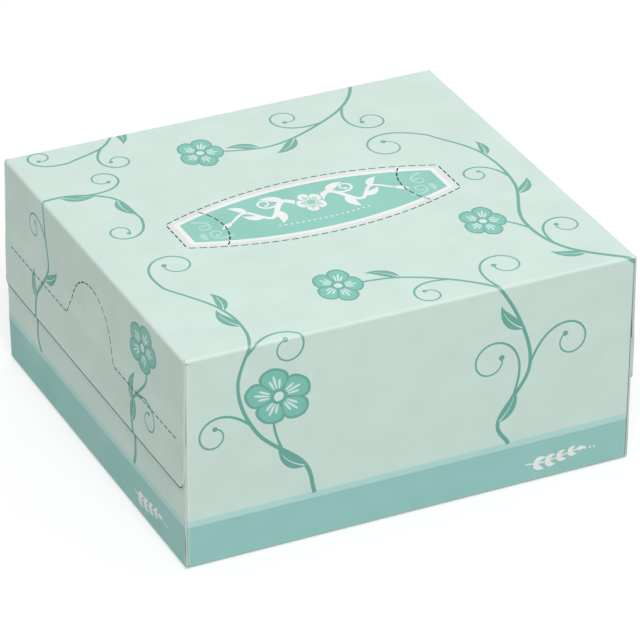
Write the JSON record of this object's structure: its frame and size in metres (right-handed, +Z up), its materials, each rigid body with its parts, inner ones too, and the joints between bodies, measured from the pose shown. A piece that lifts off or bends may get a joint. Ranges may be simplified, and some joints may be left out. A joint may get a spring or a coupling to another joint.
{
  "type": "tissue box",
  "caption": "Sealed low tissue box with a nearly square base, a perforated dispensing window in the top, glued end flaps and a perforated tear line with a thumb arch at one end.",
  "frame": {"origin": "centre of the rectangle that the box rests on, which is also the centre of its base", "axes": "+X runs along the box's length and its window, with the end that has the tear line at -X; +Z is up, out of the panel with the window; -Y is the front panel"},
  "size_m": [0.12, 0.11, 0.057],
  "materials": {
    "printed_board": "printed, satin varnish"
  },
  "bodies": {
    "root": {"sealed_carton": "printed_board"}
  },
  "joints": []
}
